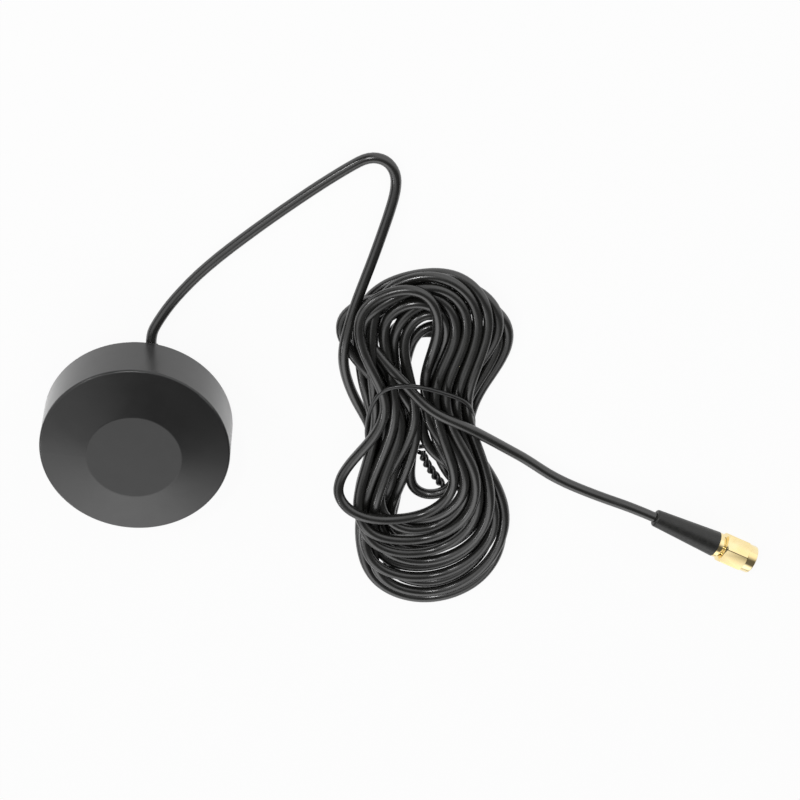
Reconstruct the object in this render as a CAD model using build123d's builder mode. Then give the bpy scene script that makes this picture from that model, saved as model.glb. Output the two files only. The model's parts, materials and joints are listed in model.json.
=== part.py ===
from build123d import *
import os
from math import cos, hypot, pi, radians, sin, tan

# Round GPS antenna on a thin coaxial lead that is tied in a hank and ends in a threaded plug.
# Millimetres. +Z up, origin at the centre of the puck's base, which stands on z = 0.

# Puck outside
puck_dia = 50.0
side_height = 14.0           # plain side of the radome
rim_gap = 4.5                # the radome's lower edge stands this far above the ground
crown_rise = 3.0             # cone from the side up to the flat middle
crown_flat_dia = 25.0
crown_blend = 1.5            # slight rounding of the crease round the flat middle
top_edge_round = 0.7
rim_edge_round = 0.3
wall = 2.4
roof = 2.2

# Base
foot_setback = 3.0           # the foot stands this far inside the radome's side
seat_width = 1.0             # ledge in the radome that presses on the seal
plate_thick = 2.4
seal_thick = 0.6
pad_thick = 1.0
pad_proud = 0.4              # the pad stands out under the foot
pad_lip = 0.8
magnet_gap = 3.5             # from the magnet to the screw heads
magnet_thick = 3.0
fit = 0.1                    # loose fit of moulded pieces
slip = 0.05                  # close fit of pins, wires and screws
film = 0.01                  # room between pieces that are pressed or soldered together
boss_sink = 0.3              # the bosses run this far into the roof
notch_room = 0.3             # room round the bosses in the board

# Screws
screw_count = 3
boss_inset = 4.6             # from the radome's inner wall to the middle of a boss
boss_dia = 5.0
boss_angle = 90.0
base_screw_dia = 2.2
base_screw_head = 4.0
base_screw_len = 11.0
post_inset = 3.5             # from the board's edge to the middle of a post
post_dia = 4.0
post_angle = 30.0
post_height = 2.6
board_screw_dia = 1.8
board_screw_head = 3.4
board_screw_head_high = 1.2
board_screw_len = 4.4
recess_width = 0.6
recess_depth = 0.5

# Board, patch and small electronics
board_gap = 2.1              # from the board's edge to the radome's inner wall
board_thick = 1.0
patch_gap = 3.0              # from the patch to the bosses beside it
patch_thick = 4.0
patch_round = 0.75
tape_inset = 0.5             # the tape ends this far inside the patch's edge
tape_thick = 0.3
electrode_inset = 2.3
electrode_thick = 0.1
electrode_corner = 2.4       # corner cut that gives the circular polarisation
feed_offset = 2.3
feed_dia = 1.0
feed_head_dia = 2.0
feed_head_high = 0.3
feed_tail = 0.5              # the pin and its solder stand this far out under the board
can_long = 14.0
can_wide = 11.0
can_high = 2.2
can_wall = 0.2
can_round = 0.8
can_centre = (1.0, 0.5)
part_gap = 1.0               # from the can's wall to the parts inside it
amplifier_size = (2.0, 2.0, 0.8)
filter_size = (3.0, 3.0, 1.1)
chip_size = (1.0, 0.5, 0.5)
chip_gap = (1.2, 0.8)        # between two small chips
chip_rows = 4
chip_columns = 2

# Lead
cable_dia = 2.8
braid_dia = 2.2
core_dia = 0.5
core_tail = 0.5              # the core stands this far out above the board
grommet_wall = 0.5
grommet_proud = 0.6
grommet_long = 3.1
entry_x = -4.3
entry_bend = 4.0             # the lead turns up to the board inside the foot
entry_stub = 1.6             # jacket left above that bend
channel_room = 0.8           # free space round the lead in its channel
last_run = 6.5               # straight end of the lead before the boot
solder_spread = 0.6          # width of the solder round a wire at the board
solder_lip = 0.15            # and at its far end

# Plug
plug_heading = 152.4         # degrees from +X, seen from above
plug_tail = (-138.5, 31.7)   # where the lead goes into the boot
boot_len = 19.0
boot_small_dia = 4.7
boot_big_dia = 7.0
boot_round = 0.6
nut_across_flats = 8.0
nut_hex_len = 6.9
nut_lip_len = 2.6
nut_lip_dia = 7.7
nut_rear_wall = 1.5
nut_bore_dia = 5.7           # over the crests of its inner thread
nut_mouth_dia = 6.5
ring_chamber_len = 1.6
ring_chamber_dia = 6.7
collar_dia = 6.9
collar_len = 1.1
neck_gap = 1.0               # neck seen between collar and nut
neck_dia = 5.3
ring_dia = 6.4
ring_thick = 0.6
ring_seat_dia = 4.6
sleeve_dia = 4.6
plane_depth = 2.4            # the mating face lies this far inside the nut's mouth
insulator_dia = 4.1
pin_dia = 0.92
pin_body_dia = 1.27
pin_tip_dia = 0.3
pin_reach = 2.0
gasket_thick = 0.7
stem_len = 7.0
stem_dia = 2.7
dielectric_dia = 1.5
ferrule_len = 11.0
ferrule_wall = 0.45
nut_clearance = 0.1          # running fit of the nut on the neck
end_play = 0.2               # free travel of the nut along the axis
nut_face_dia = 7.8
nut_chamfer = 0.5
nut_lip_round = 0.25
ring_gap = 1.4
braid_thick = 0.25

# Hank and tie
hank_height = 9.5
hank_top_round = 3.2
hank_foot_round = 1.2
tie_dia = 1.1
tie_centre = (-75.0, -2.8)
tie_long = 31.0              # width of the tie's loop across the hank
tie_lean = 22.0              # its top lies this far nearer the lead's end than its underside
tie_corners = 8              # corners of the loop before they are rounded
tie_tail_end = (-80.0, 24.0)
twist_bend = 20.0
twist_share = 0.8            # two wires twisted together, as a share of two full thicknesses

# Levels worked out from the sizes above
side_r = puck_dia / 2
inner_r = side_r - wall
seat_r = inner_r + seat_width
boss_ring_r = inner_r - boss_inset
board_r = inner_r - board_gap
post_ring_r = board_r - post_inset
magnet_r = boss_ring_r - base_screw_head / 2 - magnet_gap
patch_side = 2 * (boss_ring_r - boss_dia / 2 - patch_gap)
tape_side = patch_side - 2 * tape_inset
electrode_side = patch_side - 2 * electrode_inset
part_right = can_centre[0] + can_long / 2 - can_wall - part_gap
part_left = can_centre[0] - can_long / 2 + can_wall + part_gap
part_back = can_centre[1] + can_wide / 2 - can_wall - part_gap
part_front = can_centre[1] - can_wide / 2 + can_wall + part_gap
foot_r = side_r - foot_setback
flat_r = crown_flat_dia / 2
pad_r = foot_r - pad_lip
shoulder_z = rim_gap + side_height
crown_z = shoulder_z + crown_rise
plate_top = rim_gap + plate_thick
seal_top = plate_top + seal_thick
board_low = plate_top + post_height
board_top = board_low + board_thick
tape_top = board_top + tape_thick
patch_top = tape_top + patch_thick
electrode_top = patch_top + electrode_thick
cable_r = cable_dia / 2
grommet_r = cable_r + slip + grommet_wall
entry_z = pad_thick + grommet_r
entry_y = -(foot_r + grommet_proud)
channel_y = entry_y + grommet_long
rise_y = channel_y + entry_bend
jacket_top = entry_z + entry_bend + entry_stub


def crown_height(radius):
    """Height of the radome's outer cone at a radius outside its flat middle."""
    return crown_z - crown_rise * (radius - flat_r) / (side_r - flat_r)


# Radome: one moulded shell with a stepped rim and three screw bosses
with BuildPart() as radome:
    with BuildSketch(Plane.XZ) as shell:
        with BuildLine():
            Polyline(
                (0, crown_z),
                (flat_r, crown_z),
                (side_r, shoulder_z),
                (side_r, rim_gap),
                (seat_r, rim_gap),
                (seat_r, seal_top),
                (inner_r, seal_top),
                (inner_r, crown_height(inner_r) - roof),
                (flat_r, crown_z - roof),
                (0, crown_z - roof),
                close=True,
            )
        make_face()
        fillet(shell.vertices().sort_by_distance((side_r, shoulder_z))[0], radius=top_edge_round)
        fillet(shell.vertices().sort_by_distance((flat_r, crown_z))[0], radius=crown_blend)
        fillet(shell.vertices().sort_by_distance((side_r, rim_gap))[0], radius=rim_edge_round)
    revolve(axis=Axis.Z)
    boss_top = crown_height(boss_ring_r - boss_dia / 2) - roof + boss_sink
    with BuildSketch(Plane.XY.offset(plate_top)):
        with PolarLocations(boss_ring_r, screw_count, start_angle=boss_angle):
            Circle(boss_dia / 2)
    extrude(amount=boss_top - plate_top)
    screw_tip = pad_thick + base_screw_len
    with BuildSketch(Plane.XY.offset(plate_top)):
        with PolarLocations(boss_ring_r, screw_count, start_angle=boss_angle):
            Circle(base_screw_dia / 2 + slip)
    extrude(amount=screw_tip + fit - plate_top, mode=Mode.SUBTRACT)

# Base plate: disc in the radome's rim, with the foot under it and posts for the board
with BuildPart() as base_plate:
    with BuildSketch(Plane.XY.offset(pad_proud)):
        Circle(foot_r)
    extrude(amount=rim_gap - pad_proud)
    with BuildSketch(Plane.XY.offset(rim_gap)):
        Circle(seat_r - fit)
    extrude(amount=plate_thick)
    with BuildSketch(Plane.XY.offset(plate_top)):
        with PolarLocations(post_ring_r, screw_count, start_angle=post_angle):
            Circle(post_dia / 2)
    extrude(amount=post_height)
    with BuildSketch(Plane.XY.offset(pad_proud)):
        Circle(pad_r)
    extrude(amount=pad_thick - pad_proud, mode=Mode.SUBTRACT)
    with BuildSketch(Plane.XY.offset(pad_thick)):
        Circle(magnet_r + slip)
    extrude(amount=magnet_thick, mode=Mode.SUBTRACT)
    with BuildSketch(Plane.XY.offset(pad_thick)):
        with PolarLocations(boss_ring_r, screw_count, start_angle=boss_angle):
            Circle(base_screw_dia / 2 + fit)
    extrude(amount=plate_top - pad_thick, mode=Mode.SUBTRACT)
    head_high = (base_screw_head - base_screw_dia) / 2
    with Locations((0, 0, pad_thick)):
        with PolarLocations(boss_ring_r, screw_count, start_angle=boss_angle):
            Cone(
                base_screw_head / 2 + fit,
                base_screw_dia / 2 + fit,
                head_high,
                align=(Align.CENTER, Align.CENTER, Align.MIN),
                mode=Mode.SUBTRACT,
            )
    pilot_deep = board_screw_len - board_thick + fit
    with BuildSketch(Plane.XY.offset(board_low - pilot_deep)):
        with PolarLocations(post_ring_r, screw_count, start_angle=post_angle):
            Circle(board_screw_dia / 2 + slip)
    extrude(amount=pilot_deep, mode=Mode.SUBTRACT)
    # round way in for the grommet, and a channel that lets the lead turn up to the board
    with BuildSketch(Plane(origin=(entry_x, entry_y, entry_z), x_dir=(-1, 0, 0), z_dir=(0, 1, 0))):
        Circle(grommet_r)
    extrude(amount=grommet_long, mode=Mode.SUBTRACT)
    channel_wide = cable_dia + 2 * channel_room
    channel_end = rise_y + cable_r + channel_room
    with BuildSketch(Plane.XY.offset(pad_thick)):
        with Locations((entry_x, (channel_y + channel_end) / 2)):
            Rectangle(channel_wide, channel_end - channel_y)
    extrude(amount=plate_top - pad_thick, mode=Mode.SUBTRACT)

# Flat seal between the plate and the radome's ledge
with BuildPart() as seal_ring:
    with BuildSketch(Plane.XY.offset(plate_top)):
        Circle(seat_r - fit)
        Circle(inner_r + fit, mode=Mode.SUBTRACT)
    extrude(amount=seal_thick)

# Rubber pad that the puck stands on
with BuildPart() as foot_pad:
    with BuildSketch():
        Circle(pad_r - fit)
    extrude(amount=pad_thick)
    chamfer(foot_pad.edges().sort_by(Axis.Z)[0], length=pad_proud / 2)

# Magnet in its pocket in the foot
with BuildPart() as magnet_disc:
    with BuildSketch(Plane.XY.offset(pad_thick)):
        Circle(magnet_r)
    extrude(amount=magnet_thick)

# Countersunk screws that hold the radome to the base
with BuildPart() as base_screws:
    with Locations((0, 0, pad_thick)):
        with PolarLocations(boss_ring_r, screw_count, start_angle=boss_angle):
            Cylinder(base_screw_dia / 2, base_screw_len, align=(Align.CENTER, Align.CENTER, Align.MIN))
            Cone(
                base_screw_head / 2,
                base_screw_dia / 2,
                head_high,
                align=(Align.CENTER, Align.CENTER, Align.MIN),
            )
    with BuildSketch(Plane.XY.offset(pad_thick)):
        with PolarLocations(boss_ring_r, screw_count, start_angle=boss_angle):
            Rectangle(base_screw_dia, recess_width)
            Rectangle(recess_width, base_screw_dia)
    extrude(amount=recess_depth, mode=Mode.SUBTRACT)

# Circuit board: round, notched for the bosses, with holes for screws, feed pin and lead
with BuildPart() as circuit_board:
    with BuildSketch(Plane.XY.offset(board_low)):
        Circle(board_r)
        with PolarLocations(boss_ring_r, screw_count, start_angle=boss_angle):
            Circle(boss_dia / 2 + notch_room, mode=Mode.SUBTRACT)
        with PolarLocations(post_ring_r, screw_count, start_angle=post_angle):
            Circle(board_screw_dia / 2 + fit, mode=Mode.SUBTRACT)
        with Locations((0, -feed_offset)):
            Circle(feed_dia / 2 + slip, mode=Mode.SUBTRACT)
        with Locations((entry_x, rise_y)):
            Circle(core_dia / 2 + fit, mode=Mode.SUBTRACT)
    extrude(amount=board_thick)

# Pan-head screws that hold the board to its posts
with BuildPart() as board_screws:
    with Locations((0, 0, board_top)):
        with PolarLocations(post_ring_r, screw_count, start_angle=post_angle):
            Cylinder(board_screw_dia / 2, board_screw_len, align=(Align.CENTER, Align.CENTER, Align.MAX))
            Cone(
                board_screw_head / 2,
                board_screw_head / 2 - recess_depth,
                board_screw_head_high,
                align=(Align.CENTER, Align.CENTER, Align.MIN),
            )
    with BuildSketch(Plane.XY.offset(board_top + board_screw_head_high)):
        with PolarLocations(post_ring_r, screw_count, start_angle=post_angle):
            Rectangle(board_screw_dia, recess_width)
            Rectangle(recess_width, board_screw_dia)
    extrude(amount=-recess_depth, mode=Mode.SUBTRACT)

# Double-sided tape, ceramic patch and its silver electrode, all with the feed hole
with BuildPart() as patch_tape:
    with BuildSketch(Plane.XY.offset(board_top)):
        Rectangle(tape_side, tape_side)
        with Locations((0, -feed_offset)):
            Circle(feed_dia / 2 + slip, mode=Mode.SUBTRACT)
    extrude(amount=tape_thick)

with BuildPart() as patch_ceramic:
    with BuildSketch(Plane.XY.offset(tape_top)):
        RectangleRounded(patch_side, patch_side, patch_round)
        with Locations((0, -feed_offset)):
            Circle(feed_dia / 2 + slip, mode=Mode.SUBTRACT)
    extrude(amount=patch_thick)

with BuildPart() as patch_electrode:
    with BuildSketch(Plane.XY.offset(patch_top)) as electrode:
        Rectangle(electrode_side, electrode_side)
        far_corners = electrode.vertices().sort_by(lambda v: v.X * v.Y)[:2]
        chamfer(far_corners, length=electrode_corner)
        with Locations((0, -feed_offset)):
            Circle(feed_dia / 2 + slip, mode=Mode.SUBTRACT)
    extrude(amount=electrode_thick)

# Feed pin from the electrode down through patch, tape and board
with BuildPart() as feed_pin:
    with BuildSketch(Plane.XY.offset(board_low - feed_tail)):
        with Locations((0, -feed_offset)):
            Circle(feed_dia / 2)
    extrude(amount=electrode_top - board_low + feed_tail)
    with BuildSketch(Plane.XY.offset(electrode_top)):
        with Locations((0, -feed_offset)):
            Circle(feed_head_dia / 2)
    extrude(amount=feed_head_high)

# Shield can under the board, open towards it
with BuildPart() as shield_can:
    with BuildSketch(Plane.XY.offset(board_low - can_high)):
        with Locations(can_centre):
            RectangleRounded(can_long, can_wide, can_round)
    extrude(amount=can_high)
    with BuildSketch(Plane.XY.offset(board_low - can_high + can_wall)):
        with Locations(can_centre):
            RectangleRounded(can_long - 2 * can_wall, can_wide - 2 * can_wall, can_round - can_wall)
    extrude(amount=can_high - can_wall, mode=Mode.SUBTRACT)

# Amplifier, band filter and small chips under the board, inside the can
with BuildPart() as amplifier_chip:
    with BuildSketch(Plane.XY.offset(board_low)):
        with Locations((part_right, part_back)):
            Rectangle(amplifier_size[0], amplifier_size[1], align=(Align.MAX, Align.MAX))
    extrude(amount=-amplifier_size[2])

with BuildPart() as band_filter:
    with BuildSketch(Plane.XY.offset(board_low)):
        with Locations((part_left, part_back)):
            Rectangle(filter_size[0], filter_size[1], align=(Align.MIN, Align.MAX))
    extrude(amount=-filter_size[2])

with BuildPart() as chip_components:
    with BuildSketch(Plane.XY.offset(board_low)):
        with Locations((part_right - chip_size[0] / 2, part_front + chip_size[1] / 2)):
            with GridLocations(
                chip_size[0] + chip_gap[0],
                chip_size[1] + chip_gap[1],
                chip_columns,
                chip_rows,
                align=(Align.MAX, Align.MIN),
            ):
                Rectangle(chip_size[0], chip_size[1])
    extrude(amount=-chip_size[2])

# Lead inside the housing: in through the grommet, up to the board, stripped and soldered
with BuildPart() as cable_grommet:
    with BuildSketch(Plane(origin=(entry_x, entry_y, entry_z), x_dir=(-1, 0, 0), z_dir=(0, 1, 0))):
        Circle(grommet_r)
        Circle(cable_r + slip, mode=Mode.SUBTRACT)
    extrude(amount=grommet_long)

with BuildPart() as cable_entry:
    with BuildLine() as entry_route:
        FilletPolyline(
            (entry_x, entry_y, entry_z),
            (entry_x, rise_y, entry_z),
            (entry_x, rise_y, jacket_top),
            radius=entry_bend,
        )
    with BuildSketch(Plane(origin=entry_route.line @ 0, z_dir=entry_route.line % 0)):
        Circle(cable_r)
    sweep()

with BuildPart() as cable_braid:
    with BuildSketch(Plane.XY.offset(jacket_top)):
        with Locations((entry_x, rise_y)):
            Circle(braid_dia / 2)
            Circle(core_dia / 2 + slip, mode=Mode.SUBTRACT)
    extrude(amount=board_low - jacket_top)

with BuildPart() as cable_core:
    with BuildSketch(Plane.XY.offset(jacket_top)):
        with Locations((entry_x, rise_y)):
            Circle(core_dia / 2)
    extrude(amount=board_top + core_tail - jacket_top)

# Solder: a collar round the feed pin, one round the braid and one round the core's end
with BuildPart() as solder_joints:
    for place, level, height, wire in (
        ((0, -feed_offset), board_low, -feed_tail, feed_dia),
        ((entry_x, rise_y), board_low, -feed_tail, braid_dia),
        ((entry_x, rise_y), board_top, core_tail, core_dia),
    ):
        with BuildSketch(Plane.XY.offset(level)):
            with Locations(place):
                Circle(wire / 2 + solder_spread)
        with BuildSketch(Plane.XY.offset(level + height)):
            with Locations(place):
                Circle(wire / 2 + solder_lip)
        loft()
        with BuildSketch(Plane.XY.offset(level)):
            with Locations(place):
                Circle(wire / 2 + film)
        extrude(amount=height, mode=Mode.SUBTRACT)


# Free lead. The routes are chosen by hand from how it lies; every corner gets a wide arc.
rest_z = cable_r
plug_z = nut_across_flats / 2
plug_dir = (cos(radians(plug_heading)), sin(radians(plug_heading)), 0)
lead_route = [
    (entry_x, entry_y, entry_z),
    (entry_x, -26.0, entry_z),
    (-6.4, -30.0, 2.4),
    (-10.8, -36.2, rest_z),
    (-19.3, -45.8, rest_z),
    (-32.8, -57.4, rest_z),
    (-47.2, -68.6, rest_z),
    (-56.6, -75.2, rest_z),
    (-61.6, -78.1, rest_z),
    (-66.0, -77.2, rest_z),
    (-68.4, -73.4, rest_z),
    (-68.4, -68.4, rest_z),
    (-66.2, -60.6, rest_z),
    (-62.5, -48.4, rest_z),
    (-58.6, -37.6, 2.6),
]
tail_route = [
    (-71.5, -12.0, 9.0),
    (-77.5, -7.2, 10.8),
    (-85.0, -0.6, 10.0),
    (-92.5, 6.6, 6.6),
    (-101.5, 14.2, 2.6),
    (-111.5, 20.8, rest_z),
    (-122.5, 25.9, 1.9),
    (plug_tail[0] - last_run * plug_dir[0], plug_tail[1] - last_run * plug_dir[1], plug_z),
    (plug_tail[0], plug_tail[1], plug_z),
]


def corner_radii(points, closed=False):
    """Largest fair arc at each corner: 0.45 of the shorter run over the tangent of half the turn."""
    corners = [Vector(*point) for point in points]
    if closed:
        corners = [corners[-1], *corners, corners[0]]
    radii = []
    for before, here, after in zip(corners, corners[1:], corners[2:]):
        turn = (here - before).get_angle(after - here)
        shorter = min((here - before).length, (after - here).length)
        radii.append(0.45 * shorter / tan(radians(turn / 2)))
    return radii


with BuildPart() as cable_lead:
    with BuildLine() as lead_line:
        FilletPolyline(*lead_route, radius=corner_radii(lead_route))
    with BuildSketch(Plane(origin=lead_line.line @ 0, z_dir=lead_line.line % 0)):
        Circle(cable_r)
    sweep()

with BuildPart() as cable_tail:
    with BuildLine() as tail_line:
        FilletPolyline(*tail_route, radius=corner_radii(tail_route))
    with BuildSketch(Plane(origin=tail_line.line @ 0, z_dir=tail_line.line % 0)):
        Circle(cable_r)
    sweep()

for line, piece, route in ((lead_line, cable_lead, lead_route), (tail_line, cable_tail, tail_route)):
    length = sum(edge.length for edge in line.edges())
    print("length", round(length, 1), "volume ratio", round(piece.part.volume / (length * pi * cable_r**2), 4))
    print("radii", [round(radius, 1) for radius in corner_radii(route)])

# Hank: the outer shape of the tied turns, narrow at the tie, seen from above
hank_outline = [
    (-67.5, -47.5),
    (-84.0, -47.5),
    (-95.5, -41.0),
    (-99.5, -28.0),
    (-94.5, -15.0),
    (-88.8, -3.0),
    (-94.5, 11.0),
    (-99.0, 27.0),
    (-98.0, 44.5),
    (-89.0, 57.5),
    (-75.0, 63.5),
    (-62.0, 56.5),
    (-54.5, 42.0),
    (-52.0, 25.0),
    (-58.5, 9.0),
    (-60.0, -5.0),
    (-53.5, -18.0),
    (-52.5, -33.0),
    (-58.0, -43.5),
]
with BuildPart() as cable_hank:
    with BuildSketch():
        with BuildLine():
            FilletPolyline(*hank_outline, radius=corner_radii(hank_outline, closed=True), close=True)
        make_face()
    extrude(amount=hank_height)
    fillet(cable_hank.faces().sort_by(Axis.Z)[-1].edges(), radius=hank_top_round)
    fillet(cable_hank.faces().sort_by(Axis.Z)[0].edges(), radius=hank_foot_round)

# Twist tie: a leaning oval loop round the hank's waist, its ends twisted together under the far turns
tie_r = tie_dia / 2
loop_foot_y = tie_centre[1] + tie_lean / 2
with BuildPart() as twist_tie:
    loop_plane = Plane(
        origin=(*tie_centre, hank_height / 2 + tie_r),
        x_dir=(1, 0, 0),
        z_dir=(0, hank_height, tie_lean),
    )
    loop_half = hypot(tie_lean, hank_height) / 2
    loop_points = []
    for corner in range(tie_corners):
        angle = 2 * pi * (corner + 0.5) / tie_corners
        spread = 1 / cos(pi / tie_corners)
        loop_points.append((tie_long / 2 * spread * cos(angle), loop_half * spread * sin(angle)))
    with BuildLine(loop_plane) as loop_line:
        FilletPolyline(*loop_points, radius=corner_radii(loop_points, closed=True), close=True)
    with BuildSketch(Plane(origin=loop_line.line @ 0, z_dir=loop_line.line % 0)):
        Circle(tie_r)
    sweep()
    with BuildLine() as twist_line:
        FilletPolyline(
            (tie_centre[0], loop_foot_y, tie_dia),
            (tie_centre[0] - tie_dia, (loop_foot_y + tie_tail_end[1]) / 2, tie_dia),
            (*tie_tail_end, tie_dia),
            radius=twist_bend,
        )
    with BuildSketch(Plane(origin=twist_line.line @ 0, z_dir=twist_line.line % 0)):
        Circle(tie_dia * twist_share)
    sweep()

# Plug. Every piece is turned about one line: x runs along it from the boot's front face, y is the radius.
plug_root = (
    plug_tail[0] + boot_len * plug_dir[0],
    plug_tail[1] + boot_len * plug_dir[1],
    plug_z,
)
plug_plane = Plane(origin=plug_root, x_dir=plug_dir, z_dir=(0, 0, 1))
plug_axis = Axis(plug_root, plug_dir)
nut_rear = collar_len + neck_gap
hex_front = nut_rear + nut_hex_len
nut_front = hex_front + nut_lip_len
chamber_rear = nut_rear + nut_rear_wall
chamber_front = chamber_rear + ring_chamber_len
ring_rear = chamber_rear + end_play
neck_front = chamber_front + end_play
mating_plane = nut_front - plane_depth
bore_rear = collar_len + neck_gap / 2
neck_r = neck_dia / 2
stem_r = stem_dia / 2
sleeve_r = sleeve_dia / 2
ferrule_bore = stem_r + braid_thick
ferrule_r = ferrule_bore + ferrule_wall
wire_bore = dielectric_dia / 2 + slip
jacket_end = -(stem_len + braid_thick)

# Boot: moulded taper that grips the lead and the crimp
with BuildPart() as connector_boot:
    with BuildSketch(plug_plane) as boot_wall:
        with BuildLine():
            Polyline(
                (-boot_len, cable_r + slip),
                (-boot_len, boot_small_dia / 2),
                (0, boot_big_dia / 2),
                (0, ferrule_r + slip),
                (-ferrule_len, ferrule_r + slip),
                (-ferrule_len, cable_r + slip),
                close=True,
            )
        make_face()
    revolve(axis=plug_axis)
    mouth_edges = connector_boot.faces().sort_by(Axis(plug_root, plug_dir))[0].edges()
    fillet(mouth_edges.sort_by(SortBy.RADIUS)[-1], radius=boot_round)

# Crimp ferrule over the braid and the end of the jacket
with BuildPart() as crimp_ferrule:
    with BuildSketch(plug_plane):
        with BuildLine():
            Polyline(
                (-ferrule_len, cable_r + slip),
                (-ferrule_len, ferrule_r),
                (0, ferrule_r),
                (0, ferrule_bore),
                (jacket_end, ferrule_bore),
                (jacket_end, cable_r + slip),
                close=True,
            )
        make_face()
    revolve(axis=plug_axis)

# Lead inside the boot: jacket, then braid over the stem and dielectric through it
with BuildPart() as plug_jacket_end:
    with BuildSketch(Plane(origin=(*plug_tail, plug_z), z_dir=plug_dir)):
        Circle(cable_r)
    extrude(amount=boot_len + jacket_end)

with BuildPart() as plug_braid:
    with BuildSketch(plug_plane):
        with BuildLine():
            Polyline(
                (-stem_len, stem_r + film),
                (-stem_len, ferrule_bore - film),
                (0, ferrule_bore - film),
                (0, stem_r + film),
                close=True,
            )
        make_face()
    revolve(axis=plug_axis)

with BuildPart() as plug_dielectric:
    with BuildSketch(plug_plane):
        with BuildLine():
            Polyline(
                (jacket_end, 0),
                (jacket_end, dielectric_dia / 2),
                (collar_len, dielectric_dia / 2),
                (collar_len, 0),
                close=True,
            )
        make_face()
    revolve(axis=plug_axis)

# Connector body: crimp stem, collar, neck with the ring's groove, and the mating sleeve
with BuildPart() as connector_body:
    with BuildSketch(plug_plane):
        with BuildLine():
            Polyline(
                (-stem_len, wire_bore),
                (-stem_len, stem_r),
                (0, stem_r),
                (0, collar_dia / 2),
                (collar_len, collar_dia / 2),
                (collar_len, neck_r),
                (ring_rear, neck_r),
                (ring_rear, ring_seat_dia / 2),
                (ring_rear + ring_thick, ring_seat_dia / 2),
                (ring_rear + ring_thick, neck_r),
                (neck_front, neck_r),
                (neck_front, sleeve_r),
                (mating_plane, sleeve_r),
                (mating_plane, insulator_dia / 2),
                (bore_rear, insulator_dia / 2),
                (bore_rear, wire_bore),
                close=True,
            )
        make_face()
    revolve(axis=plug_axis)

# Insulator and centre pin
with BuildPart() as insulator:
    with BuildSketch(plug_plane):
        with BuildLine():
            Polyline(
                (bore_rear, pin_body_dia / 2 + film),
                (bore_rear, insulator_dia / 2 - film),
                (mating_plane, insulator_dia / 2 - film),
                (mating_plane, pin_body_dia / 2 + film),
                close=True,
            )
        make_face()
    revolve(axis=plug_axis)

with BuildPart() as centre_pin:
    with BuildSketch(plug_plane):
        with BuildLine():
            Polyline(
                (collar_len, 0),
                (collar_len, pin_body_dia / 2),
                (mating_plane, pin_body_dia / 2),
                (mating_plane, pin_dia / 2),
                (mating_plane + pin_reach - pin_dia / 2, pin_dia / 2),
                (mating_plane + pin_reach, pin_tip_dia / 2),
                (mating_plane + pin_reach, 0),
                close=True,
            )
        make_face()
    revolve(axis=plug_axis)

# Snap ring: open spring ring in the neck's groove that keeps the nut on
with BuildPart() as snap_ring:
    with BuildSketch(plug_plane):
        with BuildLine():
            Polyline(
                (ring_rear + film, ring_seat_dia / 2 + film),
                (ring_rear + film, ring_dia / 2),
                (ring_rear + ring_thick - film, ring_dia / 2),
                (ring_rear + ring_thick - film, ring_seat_dia / 2 + film),
                close=True,
            )
        make_face()
    revolve(axis=plug_axis)
    with BuildSketch(Plane(origin=plug_plane.from_local_coords((ring_rear, 0, 0)), z_dir=plug_dir)):
        with Locations((0, ring_dia / 2)):
            Rectangle(ring_gap, ring_dia)
    extrude(amount=ring_thick, mode=Mode.SUBTRACT)

# Soft gasket round the sleeve, against the end of the neck
with BuildPart() as sealing_gasket:
    with BuildSketch(plug_plane):
        with BuildLine():
            Polyline(
                (neck_front, sleeve_r + film),
                (neck_front, nut_bore_dia / 2 - end_play),
                (neck_front + gasket_thick, nut_bore_dia / 2 - end_play),
                (neck_front + gasket_thick, sleeve_r + film),
                close=True,
            )
        make_face()
    revolve(axis=plug_axis)

# Coupling nut: chamfered hexagon with a round lip, bored out for neck, snap ring and thread
with BuildPart() as coupling_nut:
    across_corners = nut_across_flats / cos(pi / 6)
    hexagon_plane = Plane(
        origin=plug_plane.from_local_coords((nut_rear, 0, 0)),
        x_dir=(-plug_dir[1], plug_dir[0], 0),
        z_dir=plug_dir,
    )
    with BuildSketch(hexagon_plane):
        RegularPolygon(radius=nut_across_flats / 2, side_count=6, major_radius=False)
    extrude(amount=nut_hex_len)
    with BuildSketch(plug_plane):
        with BuildLine():
            Polyline(
                (nut_rear, 0),
                (nut_rear, nut_face_dia / 2),
                (nut_rear + nut_chamfer, across_corners / 2),
                (hex_front - nut_chamfer, across_corners / 2),
                (hex_front, nut_face_dia / 2),
                (hex_front, 0),
                close=True,
            )
        make_face()
    revolve(axis=plug_axis, mode=Mode.INTERSECT)
    with BuildSketch(plug_plane) as lip:
        with BuildLine():
            Polyline(
                (hex_front, 0),
                (hex_front, nut_lip_dia / 2),
                (nut_front, nut_lip_dia / 2),
                (nut_front, 0),
                close=True,
            )
        make_face()
        fillet(lip.vertices().sort_by_distance((nut_front, nut_lip_dia / 2))[0], radius=nut_lip_round)
    revolve(axis=plug_axis)
    with BuildSketch(plug_plane):
        with BuildLine():
            Polyline(
                (nut_rear, 0),
                (nut_rear, neck_r + nut_clearance),
                (chamber_rear, neck_r + nut_clearance),
                (chamber_rear, ring_chamber_dia / 2),
                (chamber_front, ring_chamber_dia / 2),
                (chamber_front, nut_bore_dia / 2),
                (nut_front - (nut_mouth_dia - nut_bore_dia) / 2, nut_bore_dia / 2),
                (nut_front, nut_mouth_dia / 2),
                (nut_front, 0),
                close=True,
            )
        make_face()
    revolve(axis=plug_axis, mode=Mode.SUBTRACT)

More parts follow.
